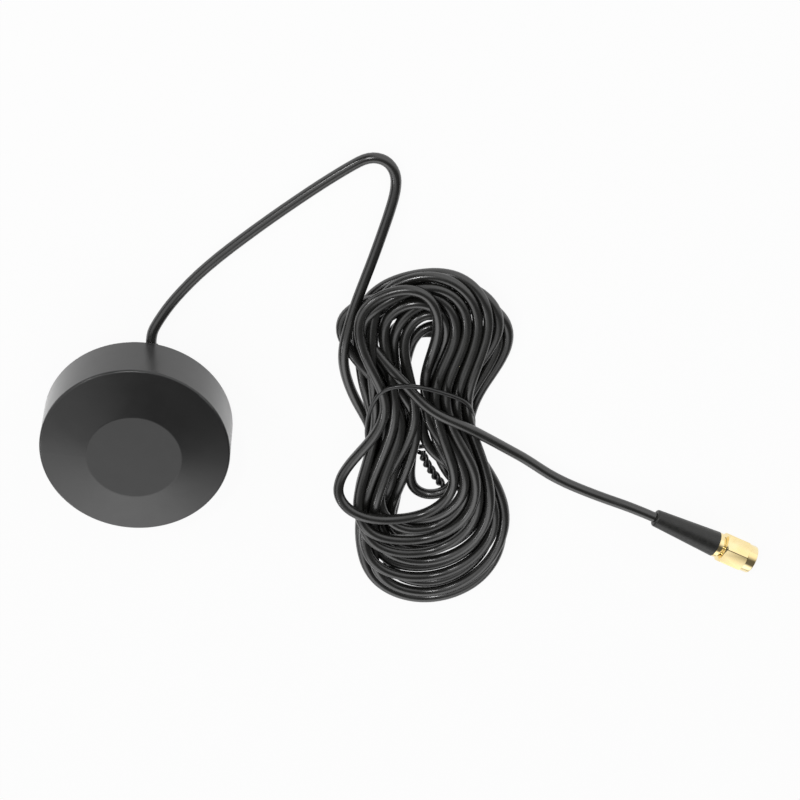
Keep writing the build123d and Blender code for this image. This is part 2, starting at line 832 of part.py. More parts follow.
# One file for each piece
pieces = {
    "radome": radome,
    "base_plate": base_plate,
    "seal_ring": seal_ring,
    "foot_pad": foot_pad,
    "magnet_disc": magnet_disc,
    "base_screws": base_screws,
    "circuit_board": circuit_board,
    "board_screws": board_screws,
    "patch_tape": patch_tape,
    "patch_ceramic": patch_ceramic,
    "patch_electrode": patch_electrode,
    "feed_pin": feed_pin,
    "shield_can": shield_can,
    "amplifier_chip": amplifier_chip,
    "band_filter": band_filter,
    "chip_components": chip_components,
    "solder_joints": solder_joints,
    "cable_grommet": cable_grommet,
    "cable_entry": cable_entry,
    "cable_braid": cable_braid,
    "cable_core": cable_core,
    "cable_lead": cable_lead,
    "cable_hank": cable_hank,
    "cable_tail": cable_tail,
    "twist_tie": twist_tie,
    "connector_boot": connector_boot,
    "crimp_ferrule": crimp_ferrule,
    "plug_jacket_end": plug_jacket_end,
    "plug_braid": plug_braid,
    "plug_dielectric": plug_dielectric,
    "connector_body": connector_body,
    "insulator": insulator,
    "centre_pin": centre_pin,
    "snap_ring": snap_ring,
    "sealing_gasket": sealing_gasket,
    "coupling_nut": coupling_nut,
}
os.makedirs("parts", exist_ok=True)
for name, piece in pieces.items():
    piece.part.label = name
    export_step(piece.part, f"parts/{name}.step")
print("plug axis point", [round(value, 4) for value in plug_root], "direction", [round(v, 6) for v in plug_dir])
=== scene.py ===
"""A gps antenna: a low black puck, its thin coaxial lead tied in a hank, and a gold plated screw-on plug.

The puck stands flat on its base. The photograph looks at it from the side where the lead leaves it,
from well above, and shows it with the picture turned half a turn, so the camera here is upside down.
"""
import json
import math

import bpy
import numpy as np
from mathutils import Matrix, Vector
from mathutils.geometry import convex_hull_2d


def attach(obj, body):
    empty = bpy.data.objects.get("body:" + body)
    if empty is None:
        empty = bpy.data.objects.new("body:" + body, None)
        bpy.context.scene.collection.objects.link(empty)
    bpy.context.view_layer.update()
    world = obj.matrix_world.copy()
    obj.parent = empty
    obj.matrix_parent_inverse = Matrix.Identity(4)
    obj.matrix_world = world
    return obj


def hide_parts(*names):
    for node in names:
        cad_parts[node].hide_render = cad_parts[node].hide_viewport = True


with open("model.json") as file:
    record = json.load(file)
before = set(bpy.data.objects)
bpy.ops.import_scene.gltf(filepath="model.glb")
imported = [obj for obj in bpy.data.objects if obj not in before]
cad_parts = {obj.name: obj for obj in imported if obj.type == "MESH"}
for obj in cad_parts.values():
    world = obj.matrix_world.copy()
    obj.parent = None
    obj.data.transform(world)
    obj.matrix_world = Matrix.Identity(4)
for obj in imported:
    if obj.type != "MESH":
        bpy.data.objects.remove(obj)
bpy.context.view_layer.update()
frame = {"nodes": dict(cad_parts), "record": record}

MM = 0.001
NODES = frame["nodes"]


# Small helpers

def metres(*point):
    """A point written in millimetres."""
    return tuple(value * MM for value in point)


def between(low, high, share):
    """The number that lies this share of the way from low to high."""
    return low + (high - low) * share


def only(piece, *others):
    """Leaves the piece active, and nothing selected but it and the others."""
    bpy.ops.object.select_all(action="DESELECT")
    for chosen in (piece, *others):
        chosen.select_set(True)
    bpy.context.view_layer.objects.active = piece


def settle_transform(piece):
    """Puts the piece's place into its mesh, so that its object stands at the origin."""
    only(piece)
    bpy.ops.object.transform_apply(location=True, rotation=True, scale=True)


# Materials

# Most of a noise pattern lies between these two
NOISE_LOW = 0.3
NOISE_HIGH = 0.7


class Finish:
    """A material built up from nodes round one Principled shader."""

    def __init__(self, name, colour, roughness, metallic=0.0, gloss=0.5):
        self.material = bpy.data.materials.new(name)
        self.material.use_nodes = True
        self.tree = self.material.node_tree
        self.shader = self.tree.nodes["Principled BSDF"]
        self.shader.inputs["Base Color"].default_value = (*colour, 1.0)
        self.shader.inputs["Roughness"].default_value = roughness
        self.shader.inputs["Metallic"].default_value = metallic
        self.shader.inputs["Specular IOR Level"].default_value = gloss
        self.coordinates = self.tree.nodes.new("ShaderNodeTexCoord").outputs["Object"]
        self.surface = None

    def join(self, output, node_input):
        self.tree.links.new(output, node_input)

    def noise(self, size_mm, detail=2.0, stretch=(1, 1, 1)):
        """Noise whose blotches are about size_mm across, stretched along some axes."""
        mapping = self.tree.nodes.new("ShaderNodeMapping")
        mapping.inputs["Scale"].default_value = [1 / value for value in stretch]
        noise = self.tree.nodes.new("ShaderNodeTexNoise")
        noise.inputs["Scale"].default_value = 1 / (size_mm * MM)
        noise.inputs["Detail"].default_value = detail
        self.join(self.coordinates, mapping.inputs["Vector"])
        self.join(mapping.outputs["Vector"], noise.inputs["Vector"])
        return noise.outputs["Fac"]

    def colour(self, noise, low, high):
        """Colours the surface from low to high as the noise rises."""
        ramp = self.tree.nodes.new("ShaderNodeValToRGB")
        stops = ((NOISE_LOW, low), (NOISE_HIGH, high))
        for element, (place, colour) in zip(ramp.color_ramp.elements, stops):
            element.position = place
            element.color = (*colour, 1.0)
        self.join(noise, ramp.inputs["Fac"])
        self.join(ramp.outputs["Color"], self.shader.inputs["Base Color"])

    def roughness(self, noise, low, high):
        """Roughens the surface from low to high as the noise rises."""
        spread = self.tree.nodes.new("ShaderNodeMapRange")
        spread.inputs["From Min"].default_value = NOISE_LOW
        spread.inputs["From Max"].default_value = NOISE_HIGH
        spread.inputs["To Min"].default_value = low
        spread.inputs["To Max"].default_value = high
        self.join(noise, spread.inputs["Value"])
        self.join(spread.outputs["Result"], self.shader.inputs["Roughness"])

    def bump(self, noise, depth_mm, strength):
        """Lets the surface rise and fall with the noise, on top of the bumps it already has."""
        bump = self.tree.nodes.new("ShaderNodeBump")
        bump.inputs["Strength"].default_value = strength
        bump.inputs["Distance"].default_value = depth_mm * MM
        self.join(noise, bump.inputs["Height"])
        if self.surface is not None:
            self.join(self.surface, bump.inputs["Normal"])
        self.surface = bump.outputs["Normal"]
        self.join(self.surface, self.shader.inputs["Normal"])


def light_level(value):
    """The light that a picture's value out of 255 stands for, by the standard curve."""
    level = value / 255
    return level / 12.92 if level <= 0.04045 else ((level + 0.055) / 1.055) ** 2.4


def tint(red, green, blue):
    """A colour given by its values out of 255 in a picture."""
    return tuple(light_level(value) for value in (red, green, blue))


def moulded_plastic(name, low, high, roughness, grain_mm=0.12, grain_depth=0.006, gloss=0.5, sheen=0.0):
    """Moulded plastic with the fine even grain of an etched mould and faint cloudy patches."""
    finish = Finish(name, low, roughness, gloss=gloss)
    finish.colour(finish.noise(size_mm=9.0, detail=3.0), low, high)
    finish.roughness(finish.noise(size_mm=3.5), roughness - 0.015, roughness + 0.025)
    finish.bump(finish.noise(grain_mm, detail=3.0), grain_depth, strength=0.35)
    finish.shader.inputs["Sheen Weight"].default_value = sheen
    finish.shader.inputs["Sheen Roughness"].default_value = 0.35
    return finish.material


def rubber(name, low, high, roughness, gloss=0.5):
    """Soft rubber and coated wire: blotchy, with a finely pitted surface."""
    finish = Finish(name, low, roughness, gloss=gloss)
    finish.colour(finish.noise(size_mm=1.6, detail=4.0), low, high)
    finish.roughness(finish.noise(size_mm=0.8, detail=3.0), roughness - 0.06, roughness + 0.08)
    finish.bump(finish.noise(size_mm=0.35, detail=3.0), depth_mm=0.015, strength=0.4)
    return finish.material


def jacket():
    """The lead's extruded jacket: satin gloss over slight waves, with a little haze."""
    finish = Finish("jacket_extruded_black", tint(24, 24, 23), roughness=0.3, gloss=1.0)
    finish.colour(finish.noise(size_mm=6.0, detail=3.0), tint(20, 20, 19), tint(29, 29, 27))
    finish.roughness(finish.noise(size_mm=4.0, detail=3.0), 0.22, 0.32)
    finish.bump(finish.noise(size_mm=7.0, detail=1.0), depth_mm=0.08, strength=0.25)
    return finish.material


def gold():
    """Gold plate over turned brass: slightly uneven gloss and colour."""
    finish = Finish("gold_plate_turned", tint(252, 230, 172), roughness=0.12, metallic=1.0)
    finish.colour(finish.noise(size_mm=4.0), tint(250, 224, 160), tint(255, 236, 184))
    finish.roughness(finish.noise(size_mm=2.0, detail=3.0), 0.09, 0.17)
    finish.bump(finish.noise(size_mm=1.5), depth_mm=0.004, strength=0.2)
    return finish.material


def metal(name, low, high, roughness):
    """Plated or rolled metal: finely uneven in colour, gloss and surface."""
    finish = Finish(name, low, roughness, metallic=1.0)
    finish.colour(finish.noise(size_mm=1.2, detail=4.0), low, high)
    finish.roughness(finish.noise(size_mm=0.7, detail=4.0), roughness - 0.06, roughness + 0.08)
    finish.bump(finish.noise(size_mm=0.3, detail=3.0), depth_mm=0.006, strength=0.3)
    return finish.material


def board_green():
    """Solder mask with the weave of the laminate just showing."""
    finish = Finish("board_solder_mask", tint(22, 84, 52), roughness=0.35)
    finish.colour(finish.noise(size_mm=2.5, detail=3.0), tint(16, 74, 44), tint(30, 96, 60))
    for stretch in ((4, 1, 1), (1, 4, 1)):
        finish.bump(finish.noise(size_mm=0.4, stretch=stretch), depth_mm=0.01, strength=0.3)
    return finish.material


# For each material slot: the material's name, its colours where noise is low and high, and its roughness
FINISHES = {
    "radome_plastic": moulded_plastic("radome_moulded_black", tint(20, 20, 20), tint(24, 24, 24), 0.3,
                                      gloss=0.75, sheen=0.8),
    "base_plastic": moulded_plastic("base_moulded_black", tint(30, 30, 31), tint(36, 36, 37), 0.5),
    "seal_rubber": rubber("seal_soft_black", tint(24, 24, 24), tint(34, 34, 34), 0.6),
    "pad_rubber": rubber("pad_foam_black", tint(28, 28, 28), tint(44, 44, 44), 0.8),
    "nickel_plate": metal("magnet_nickel", tint(170, 168, 162), tint(205, 203, 198), 0.22),
    "screw_steel": metal("screw_zinc", tint(150, 150, 152), tint(190, 190, 192), 0.3),
    "board_laminate": board_green(),
    "white_tape": moulded_plastic("tape_white", tint(222, 222, 218), tint(238, 238, 234), 0.7,
                                  grain_mm=0.3, grain_depth=0.01),
    "ceramic": moulded_plastic("ceramic_fired", tint(196, 176, 146), tint(214, 196, 168), 0.55,
                               grain_mm=0.2, grain_depth=0.01),
    "silver": metal("electrode_silver", tint(196, 194, 188), tint(226, 224, 220), 0.35),
    "tin": metal("tin_bright", tint(176, 176, 174), tint(208, 208, 206), 0.28),
    "chip_black": moulded_plastic("chip_moulded", tint(26, 26, 27), tint(38, 38, 39), 0.55),
    "copper": metal("core_copper", tint(190, 112, 72), tint(216, 136, 92), 0.25),
    "cable_jacket": jacket(),
    "tie_plastic": rubber("tie_coated_black", tint(14, 14, 14), tint(22, 22, 22), 0.34, gloss=0.8),
    "boot_rubber": rubber("boot_shrunk_black", tint(24, 24, 23), tint(34, 34, 32), 0.42, gloss=0.6),
    "gold_plate": gold(),
    "ptfe": moulded_plastic("ptfe_white", tint(226, 226, 222), tint(240, 240, 238), 0.5),
    "spring_bronze": metal("ring_bronze", tint(186, 140, 84), tint(206, 162, 104), 0.3),
    "gasket_silicone": rubber("gasket_red", tint(150, 62, 44), tint(172, 78, 56), 0.5),
}


def dress(piece, slot_name):
    """Gives the piece the finish of a material slot, and no other."""
    piece.data.materials.clear()
    piece.data.materials.append(FINISHES[slot_name])


def dress_nodes():
    """Gives each CAD node the finish that its record names."""
    for part in frame["record"]["subparts"]:
        node = NODES[part["node"]]
        for material_slot in node.material_slots:
            material_slot.material = FINISHES[part["material_slot"]]
        if not node.material_slots:
            dress(node, part["material_slot"])


# The lead, with its points before and after the hank, all in millimetres.

LEAD_DIAMETER = 2.8
LEAD_RADIUS = LEAD_DIAMETER / 2
LEAD_EXIT = (-4.3, -22.6, 2.95)
LEAD_ROUTE = [
    LEAD_EXIT,
    (-4.3, -26.0, 2.95),
    (-6.4, -30.0, 2.4),
    (-10.8, -36.2, 1.4),
    (-19.3, -45.8, 1.4),
    (-32.8, -57.4, 1.4),
    (-47.2, -68.6, 1.4),
    (-56.6, -75.2, 1.4),
    (-61.6, -78.1, 1.4),
    (-66.0, -77.2, 1.4),
    (-68.4, -73.4, 1.4),
    (-68.4, -68.4, 1.4),
]
PLUG_TAIL = (-138.5, 31.7, 4.0)
TAIL_ROUTE = [
    (-111.5, 20.8, 1.4),
    (-122.5, 25.9, 1.9),
    (-132.74, 28.69, 4.0),
    PLUG_TAIL,
]


def round_cord(name, points, radius, rings, closed=False):
    """A round cord along a NURBS spline led by these points, all in millimetres."""
    curve = bpy.data.curves.new(name, "CURVE")
    curve.dimensions = "3D"
    curve.bevel_depth = radius * MM
    curve.bevel_resolution = rings
    curve.resolution_u = 4
    curve.use_fill_caps = not closed
    spline = curve.splines.new("NURBS")
    spline.points.add(len(points) - 1)
    for spline_point, point in zip(spline.points, points):
        spline_point.co = (*metres(*point), 1.0)
    spline.order_u = 3
    spline.use_endpoint_u = not closed
    spline.use_cyclic_u = closed
    cord = bpy.data.objects.new(name, curve)
    bpy.context.collection.objects.link(cord)
    return cord


# The hank. In it, s runs across towards -X from its middle and t runs along +Y, both in millimetres.

HANK_MIDDLE_X = -74.5
POINT_STEP = 2.4
ARC_STEPS = 6

# The tie's loop stands in a plane that leans and slants, and its twisted ends lie on the floor
TIE_MIDDLE = 0.4
TIE_HALF_WIDTH = 12.6
TIE_RADIUS = 0.62
TIE_FOOT_T = 12.2
TIE_LEAN = 2.3
TIE_SLANT = 0.14
TWIST_PATH = [(1.0, 13.0), (1.8, 15.2), (3.4, 18.2), (5.4, 21.4)]

# The turns are piled up in a low mound where they pass through the tie
PILE_HEIGHT = 8.6
PILE_HALF_WIDTH = TIE_HALF_WIDTH + 1

# The turns in the order of winding: every second layer going down, and those between coming up again.
# (foot: reach, left, right), (head: reach, left, right, tip), (left and right places at the tie)
TURNS = [
    ((33.0, -16.6, 14.8), (-43.0, -15.2, 6.4, 1.0), (-12.6, 1.6)),
    ((28.6, -23.4, 12.2), (-39.5, -21.6, 10.0, 0.5), (-6.8, 4.2)),
    ((46.4, -13.6, 18.6), (-44.0, -15.5, 18.0, 6.0), (-4.4, 11.2)),
    ((51.6, -13.8, 20.8), (-42.0, -18.0, 20.4, 6.0), (-11.4, 8.2)),
    ((43.8, -12.4, 18.2), (-37.5, -9.0, 13.4, 2.0), (-6.4, 5.8)),
    ((24.4, -4.6, 13.0), (-30.5, -4.6, 15.4, 2.0), (-3.6, 1.5)),
    ((60.4, -12.6, 21.8), (-38.0, -11.5, 21.8, 4.0), (-11.8, 13.0)),
    ((56.2, -12.6, 21.2), (-26.5, -9.5, 14.0, 1.0), (-5.2, 7.2)),
    ((50.2, -13.4, 19.4), (-31.0, -10.0, 17.6, 1.5), (-7.8, 8.6)),
    ((58.4, -13.0, 22.0), (-35.8, -14.0, 22.0, 4.0), (-9.0, 10.4)),
    ((40.8, -11.0, 16.2), (-34.5, -5.0, 11.2, 2.0), (-0.4, 4.8)),
    ((33.6, -12.8, 14.0), (-39.5, -10.5, 9.5, 1.0), (-2.2, 3.4)),
    ((42.4, -14.8, 17.2), (-44.4, -13.5, 15.6, 4.4), (-7.4, 9.2)),
    ((37.4, -15.6, 15.8), (-43.0, -18.0, 12.8, 3.5), (-9.6, 6.8)),
]
TOP = len(TURNS)

# The first turn starts low at the tie, and one turn's foot lies out of line, on top of the others
FIRST_LAYER = 2
OUTLYING_TURN = 1
OUTLYING_LAYER = TOP + 2

# The points (s, t, layer) before the first turn and after the last, which stops short on its way back
LEAD_INTO_HANK = [
    (-8.0, -61.0, 3),
    (-11.4, -49.4, 9),
    (-13.8, -42.4, TOP + 1),
    (-15.9, -35.8, TOP + 2),
    (-17.9, -28.5, TOP + 2),
    (-19.2, -21.5, TOP),
    (-19.0, -14.6, 9),
    (-17.8, -7.6, 5),
    (-16.0, -1.0, 3),
]
LAST_HEAD_POINTS = 12
TAIL_OUT_OF_HANK = [
    (-15.2, -30.0, TOP - 5),
    (-12.9, -25.0, TOP - 4),
    (-9.9, -21.0, TOP - 2),
    (-6.5, -17.2, TOP),
    (-3.5, -13.2, TOP + 2),
    (-0.2, -9.0, TOP + 4),
    (4.0, -5.2, TOP + 5),
    (9.0, -3.2, TOP + 5),
    (14.2, 0.2, TOP + 6),
    (19.0, 4.4, TOP + 5),
    (23.4, 8.8, TOP + 1),
    (28.2, 13.2, 6),
]

# A side of a loop has points in even steps out to its widest place, spreading partly evenly and partly
# with eased ends, and then points at these angles round towards its tip
SIDE_SHARES = (0.2, 0.4, 0.6, 0.8, 1.0)
EVEN_SPREAD = 0.35
EASED_SPREAD = 0.65
ROUND_DEGREES = (28, 54, 76)

# The widest place's share of the way from the tie to the tip, also as (top turn, bottom turn)
FOOT_LEFT_WIDE = 0.76
FOOT_RIGHT_WIDE = (0.64, 0.57)
HEAD_LEFT_WIDE = 0.7
HEAD_RIGHT_WIDE = (0.66, 0.76)

# The bottom turn's head runs straight for this share of its right side, and the turns above it for less
HEAD_RIGHT_STRAIGHT = 0.32

# A foot's tip lies this share of the way from s = 0 to the middle between its sides
FOOT_TIP_SHARE = 0.4


def tie_plane_t(s, z):
    """Where the leaning plane of the tie's loop is at this place across the hank and at this height."""
    return TIE_FOOT_T - TIE_LEAN * z - TIE_SLANT * s


def neck(s, layer):
    """The point where a turn passes through the tie."""
    mound = math.sqrt(max(0.0, 1 - ((s - TIE_MIDDLE) / PILE_HALF_WIDTH) ** 2))
    height = min(layer / (TOP - 1), mound) * PILE_HEIGHT
    return s, tie_plane_t(s, LEAD_RADIUS + height)


def hank_side(neck_point, side, tip, reach, wide_share, straight_share=0.0):
    """One side of a loop, from the tie out to its widest place and round to just before its tip."""
    neck_s, neck_t = neck_point
    wide_t = between(neck_t, reach, wide_share)
    points = []
    for share in SIDE_SHARES:
        spread = max(0.0, share - straight_share) / (1 - straight_share)
        swell = EVEN_SPREAD * spread + EASED_SPREAD * spread * spread * (3 - 2 * spread)
        points.append((between(neck_s, side, swell), between(neck_t, wide_t, share)))
    for degrees in ROUND_DEGREES:
        angle = math.radians(degrees)
        s = tip + (side - tip) * math.cos(angle)
        t = wide_t + (reach - wide_t) * math.sin(angle)
        points.append((s, t))
    return points


def turn_layer(number):
    """The layer that a turn lies in: 13, 11, 9 and so on down to 1, then 0, 2, 4 and so on up to 12."""
    down = TOP - 1 - 2 * number
    return down if down >= 0 else -down - 1


def foot_points(number, left, right):
    """A turn's foot, from the tie's left to its right."""
    reach, left_side, right_side = TURNS[number][0]
    layer = turn_layer(number)
    depth = 1 - layer / (TOP - 1)
    foot_layer = OUTLYING_LAYER if number == OUTLYING_TURN else layer
    left_layer = FIRST_LAYER if number == 0 else foot_layer
    tip = FOOT_TIP_SHARE * (left_side + right_side) / 2
    out = hank_side(left, left_side, tip, reach, FOOT_LEFT_WIDE)
    back = hank_side(right, right_side, tip, reach, between(*FOOT_RIGHT_WIDE, depth))
    loop = out + [(tip, reach)] + back[::-1]
    points = [(*left, min(layer, left_layer))]
    for place, (s, t) in enumerate(loop):
        points.append((s, t, between(left_layer, foot_layer, place / (len(loop) - 1))))
    return points


def head_points(number, right):
    """A turn's head, from the tie's right to its left. Past its tip it changes to the next layer."""
    reach, left_side, right_side, tip = TURNS[number][1]
    layer = turn_layer(number)
    depth = 1 - layer / (TOP - 1)
    if number < TOP - 1:
        next_layer, next_s = turn_layer(number + 1), TURNS[number + 1][2][0]
    else:
        next_layer, next_s = layer, left_side
    straight_share = HEAD_RIGHT_STRAIGHT * depth
    out = hank_side(right, right_side, tip, reach, between(*HEAD_RIGHT_WIDE, depth), straight_share)
    back = hank_side(neck(next_s, next_layer), left_side, tip, reach, HEAD_LEFT_WIDE)
    loop = out + [(tip, reach)] + back[::-1]
    points = [(*right, layer)]
    for place, (s, t) in enumerate(loop):
        past_tip = max(0, place - len(out)) / (len(back) + 1)
        points.append((s, t, between(layer, next_layer, past_tip)))
    return points


def hank_design():
    """Points (s, t, layer) of the turns, laid out flat in the order in which the lead is wound."""
    path = list(LEAD_INTO_HANK)
    for number, (_, _, necks) in enumerate(TURNS):
        left, right = (neck(s, turn_layer(number)) for s in necks)
        path += foot_points(number, left, right)
        head = head_points(number, right)
        path += head if number < TOP - 1 else head[:1 + LAST_HEAD_POINTS]
    return path + TAIL_OUT_OF_HANK


def smooth_line(points, step):
    """Points an even step apart, in plan, on a smooth line led by these points."""
    points = np.array(points, float)
    points = np.vstack([2 * points[0] - points[1], points, 2 * points[-1] - points[-2]])
    line = []
    for before, here, after in zip(points, points[1:], points[2:]):
        for share in np.arange(0, 1, 1 / ARC_STEPS):
            start, end = (before + here) / 2, (here + after) / 2
            line.append((1 - share) ** 2 * start + 2 * share * (1 - share) * here + share ** 2 * end)
    line.append((points[-2] + points[-1]) / 2)
    line = np.array(line)
    runs = np.linalg.norm(np.diff(line[:, :2], axis=0), axis=1)
    along = np.concatenate([[0], np.cumsum(runs)])
    places = np.linspace(0, along[-1], round(along[-1] / step) + 1)
    return np.stack([np.interp(places, along, line[:, axis]) for axis in range(3)], 1)


# How the turns come to rest, in many small rounds

# They sink until this share of the rounds, from layers that are held up less and less, and are drawn
# to their plan meanwhile
REST_ROUNDS = 520
LAYER_HEIGHT = 3.1
SINKING_END = 0.92
SINKING_SHARES = (0, 0.6, 1)
SINKING_HEIGHTS = (1.0, 0.1, 0.0)
SINKING_PACE = 0.9
SINKING_STEP = 0.2
PLAN_PULL = 0.05

# The tie holds in what passes near its plane and close to its width
TIE_PULL = 0.5
TIE_REACH = 6.0
TIE_MARGIN = 4

# Each round evens out the stiff lead's moves this much and this often. At the end its line is evened.
STIFFNESS = 0.35
STIFFNESS_PASSES = 3
EVENING_PASSES = 3

# Turns are kept this far apart, middle to middle, and where they cross, the upper one goes over the other
LEAST_APART = 2.84
CROSSING_LIFT = 2.0
PUSHES = 4
PUSH_SHARE = 1.25

# Pairs that may touch are looked up anew after this many rounds, with a margin for what moves until then
PAIR_ROUNDS = 6
PAIR_MARGIN = 1.3
NEIGHBOURS = 3

# The lead comes down off the wire of the tie's loop and off its twist over these lengths, and the wire
# lies under it out to this much past the tie's width
WIRE_SLOPE = 5.0
TWIST_SLOPE = 3.0
WIRE_MARGIN = 2


def near_pairs(points, reach):
    """Index pairs of points nearer than reach that aren't neighbours along the lead."""
    first, second = np.triu_indices(len(points), NEIGHBOURS)
    for axis in (0, 1):
        near = np.abs(points[first, axis] - points[second, axis]) < reach
        first, second = first[near], second[near]
    near = ((points[first] - points[second]) ** 2).sum(1) < reach * reach
    return first[near], second[near]


def ground(points):
    """The lowest that the lead's middle can lie: on the floor, or on the tie's wire that runs beneath."""
    over_wire = np.exp(-((points[:, 1] - tie_plane_t(points[:, 0], TIE_RADIUS)) / WIRE_SLOPE) ** 2)
    inside = np.abs(points[:, 0] - TIE_MIDDLE) < TIE_HALF_WIDTH + WIRE_MARGIN
    path = np.array(TWIST_PATH)
    off_twist = points[:, 0] - np.interp(points[:, 1], path[:, 1], path[:, 0])
    beyond_twist = points[:, 1] - np.clip(points[:, 1], path[0, 1], path[-1, 1])
    over_twist = np.exp(-(off_twist ** 2 + beyond_twist ** 2) / TWIST_SLOPE ** 2)
    return LEAD_RADIUS + 2 * TIE_RADIUS * np.maximum(over_wire * inside, 2 * over_twist)


def sink(points, plan, layer, share):
    """Lets the turns down a little and draws them to their plan, at this share of the rounds."""
    held_up = np.interp(share, SINKING_SHARES, SINKING_HEIGHTS)
    above = points[:, 2] - LEAD_RADIUS - layer * LAYER_HEIGHT * held_up
    points[:, 2] -= SINKING_PACE * np.clip(above, 0, SINKING_STEP)
    points[:, :2] += PLAN_PULL * (plan - points[:, :2])


def hold_in(points):
    """Draws the turns in where they pass through the tie."""
    height = np.minimum(points[:, 2], LEAD_RADIUS + PILE_HEIGHT)
    off_tie = points[:, 1] - tie_plane_t(points[:, 0], height)
    across = points[:, 0] - TIE_MIDDLE
    at_tie = np.exp(-(off_tie / TIE_REACH) ** 2) * (np.abs(across) < TIE_HALF_WIDTH + TIE_MARGIN)
    points[:, 0] -= TIE_PULL * at_tie * (across - np.clip(across, -TIE_HALF_WIDTH, TIE_HALF_WIDTH))


def stiffened(points, flat):
    """The points once the lead has taken up what pushes it over a length, not at one point."""
    moved = points - flat
    for _ in range(STIFFNESS_PASSES):
        moved[1:-1] += STIFFNESS * ((moved[:-2] + moved[2:]) / 2 - moved[1:-1])
    return flat + moved


def crossing_lift(points, layer, first, second):
    """How strongly the first of each pair is pushed up, or down if it is the lower, where the two cross."""
    along = np.gradient(points[:, :2], axis=0)
    along /= np.linalg.norm(along, axis=1)[:, None]
    crossing = np.abs(along[first, 0] * along[second, 1] - along[first, 1] * along[second, 0])
    return CROSSING_LIFT * crossing * np.sign(layer[first] - layer[second])


def push_apart(points, first, second, lift):
    """Pushes apart the pairs that are too close, and keeps all points above the ground."""
    gap = points[first] - points[second]
    distance = np.sqrt((gap * gap).sum(1)) + 1e-9
    close = distance < LEAST_APART
    way = gap[close] / distance[close, None]
    way[:, 2] += lift[close]
    push = way / np.linalg.norm(way, axis=1)[:, None] * ((LEAST_APART - distance[close, None]) / 2)
    shift, count = np.zeros_like(points), np.zeros(len(points))
    for ends, their_push in ((first[close], push), (second[close], -push)):
        np.add.at(shift, ends, their_push)
        np.add.at(count, ends, 1)
    points += PUSH_SHARE * shift / np.maximum(count, 1)[:, None]
    points[:, 2] = np.maximum(points[:, 2], ground(points))


def come_to_rest(design):
    """Lets the turns sink on each other under their weight, held in by the tie."""
    plan, layer = design[:, :2], design[:, 2]
    flat = np.column_stack([plan, np.zeros(len(plan))])
    points = np.column_stack([plan, LEAD_RADIUS + layer * LAYER_HEIGHT])
    for number in range(REST_ROUNDS):
        share = number / REST_ROUNDS
        if share < SINKING_END:
            sink(points, plan, layer, share)
        hold_in(points)
        points = stiffened(points, flat)
        if number % PAIR_ROUNDS == 0:
            first, second = near_pairs(points, LEAST_APART + PAIR_MARGIN)
            lift = crossing_lift(points, layer, first, second)
        for _ in range(PUSHES):
            push_apart(points, first, second, lift)
    for _ in range(EVENING_PASSES):
        points[1:-1] = (points[:-2] + 2 * points[1:-1] + points[2:]) / 4
    return points


def hank_in_place():
    """The hank's centreline in the antenna's frame, in millimetres."""
    rest = come_to_rest(smooth_line(hank_design(), POINT_STEP))
    return np.column_stack([HANK_MIDDLE_X - rest[:, 0], rest[:, 1], rest[:, 2]])


def make_lead(hank):
    """The whole free lead as one cord, led through the hank by every second point of its centreline."""
    points = LEAD_ROUTE + [tuple(point) for point in hank[2:-1:2]] + TAIL_ROUTE
    lead = round_cord("coaxial_lead", points, LEAD_RADIUS, rings=4)
    dress(lead, "cable_jacket")
    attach(lead, "antenna")
    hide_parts("cable_lead", "cable_hank", "cable_tail")


# The tie

# Turns that run beside the tie, this much past its width, aren't in its loop
LOOP_MARGIN = 5

# Each turn in the loop holds the wire off by a ring of corners, and the loop round them is then rounded
CORNER_DEGREES = 15
LOOP_STEP = 1.2
LOOP_ROUNDING = 12

# The rounding draws the loop's upper side in, so it is lifted back
LOOP_UPPER_SIDE = 6
LOOP_LIFT = 0.3

TWIST_PITCH = 4.6
TWIST_STEPS = 12
TIE_RINGS = 3


def tie_loop(line):
    """The tie's middle line, in the antenna's frame: a leaning loop, pulled tight round the turns."""
    past = line[:, 1] - tie_plane_t(HANK_MIDDLE_X - line[:, 0], line[:, 2])
    step = np.flatnonzero(past[:-1] * past[1:] < 0)
    share = (past[step] / (past[step] - past[step + 1]))[:, None]
    middles = line[step] * (1 - share) + line[step + 1] * share
    reach = LEAD_RADIUS + TIE_RADIUS
    rims = []
    for x, _, z in middles:
        if abs(HANK_MIDDLE_X - x - TIE_MIDDLE) > TIE_HALF_WIDTH + LOOP_MARGIN:
            continue
        for degrees in range(0, 360, CORNER_DEGREES):
            angle = math.radians(degrees)
            rims.append((x + reach * math.cos(angle), z + reach * math.sin(angle)))
    corners = np.array([rims[index] for index in convex_hull_2d(rims)])
    corners = np.vstack([corners, corners[:1]])
    along = np.concatenate([[0], np.cumsum(np.linalg.norm(np.diff(corners, axis=0), axis=1))])
    places = np.linspace(0, along[-1], round(along[-1] / LOOP_STEP) + 1)[:-1]
    loop = np.stack([np.interp(places, along, corners[:, axis]) for axis in range(2)], 1)
    for _ in range(LOOP_ROUNDING):
        loop = (np.roll(loop, 1, 0) + 2 * loop + np.roll(loop, -1, 0)) / 4
    x, z = loop.T
    z = np.maximum(z + LOOP_LIFT * (z > LOOP_UPPER_SIDE), TIE_RADIUS)
    return np.column_stack([x, tie_plane_t(HANK_MIDDLE_X - x, z), z])


